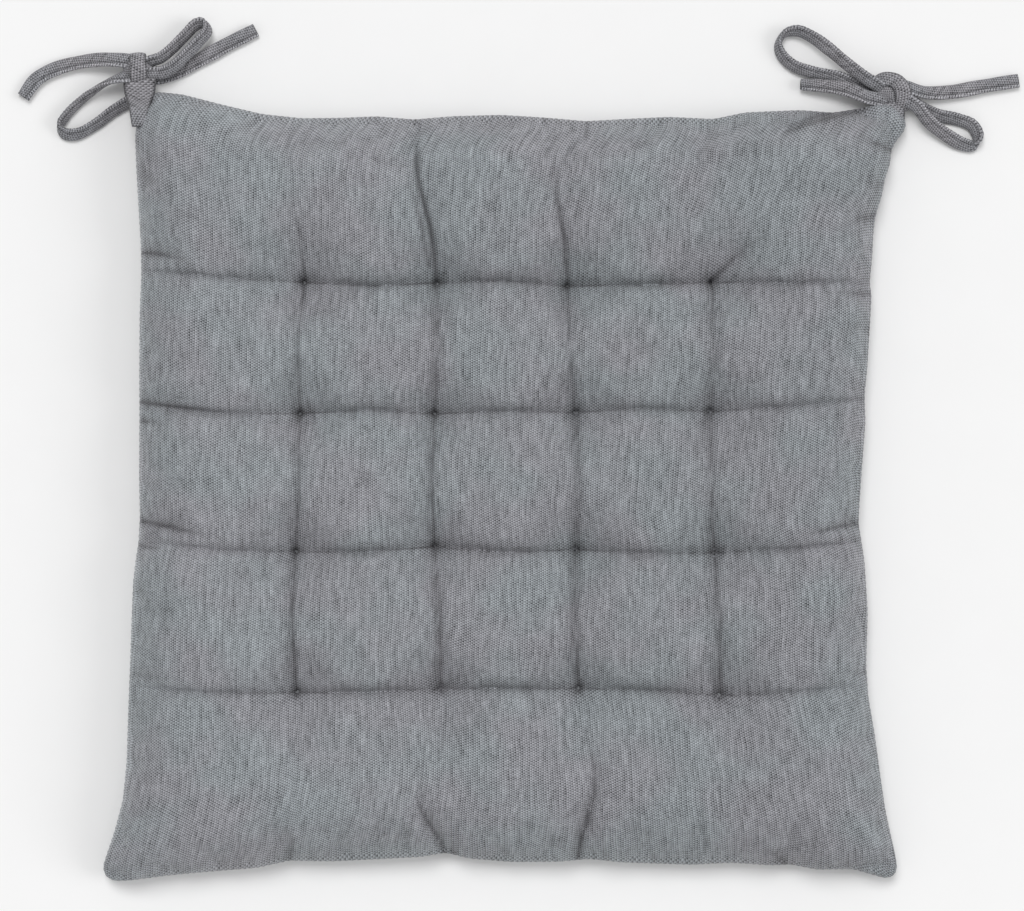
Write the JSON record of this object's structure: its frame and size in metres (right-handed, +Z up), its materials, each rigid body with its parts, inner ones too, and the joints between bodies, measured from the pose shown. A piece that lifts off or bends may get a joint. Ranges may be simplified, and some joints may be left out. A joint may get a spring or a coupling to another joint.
{
  "type": "chair seat pad",
  "caption": "Square tufted seat pad in grey woven cloth, with tape ties in a bow at each back corner.",
  "frame": {"origin": "centre of the pad's bounding box in plan, on the surface that its underside rests on, without the ties", "axes": "+Z up out of the face that is sat on, +Y towards the back edge with the ties, +X to the right seen from above"},
  "size_m": [0.5027, 0.4302, 0.0392],
  "materials": {
    "pad_cloth": "woven grey cloth, matt",
    "fibre": "loose white polyester fibre",
    "seam_thread": "grey sewing thread",
    "tuft_thread": "light grey tufting twine",
    "tie_tape": "woven grey cloth tape with a stitched edge"
  },
  "bodies": {
    "pad": {"top_panel": "pad_cloth", "bottom_panel": "pad_cloth", "filling": "fibre", "edge_seam": "seam_thread", "tuft_stitch_11": "tuft_thread", "tuft_stitch_12": "tuft_thread", "tuft_stitch_13": "tuft_thread", "tuft_stitch_14": "tuft_thread", "tuft_stitch_21": "tuft_thread", "tuft_stitch_22": "tuft_thread", "tuft_stitch_23": "tuft_thread", "tuft_stitch_24": "tuft_thread", "tuft_stitch_31": "tuft_thread", "tuft_stitch_32": "tuft_thread", "tuft_stitch_33": "tuft_thread", "tuft_stitch_34": "tuft_thread", "tuft_stitch_41": "tuft_thread", "tuft_stitch_42": "tuft_thread", "tuft_stitch_43": "tuft_thread", "tuft_stitch_44": "tuft_thread"},
    "left_bow": {"left_knot": "tie_tape", "left_stem_left": "tie_tape", "left_stem_right": "tie_tape", "left_loop_left": "tie_tape", "left_loop_right": "tie_tape", "left_tail_left": "tie_tape", "left_tail_right": "tie_tape"},
    "right_bow": {"right_knot": "tie_tape", "right_stem_left": "tie_tape", "right_stem_right": "tie_tape", "right_loop_left": "tie_tape", "right_loop_right": "tie_tape", "right_tail_left": "tie_tape", "right_tail_right": "tie_tape"}
  },
  "joints": [
    {"name": "left_bow_fold", "type": "hinge", "parent": "pad", "child": "left_bow", "pos_m": [-0.183, 0.195, 0.0065], "axis": [1, 0, 0], "range_deg": [-75, 30]},
    {"name": "right_bow_fold", "type": "hinge", "parent": "pad", "child": "right_bow", "pos_m": [0.197, 0.188, 0.0065], "axis": [1, 0, 0], "range_deg": [-75, 30]}
  ]
}
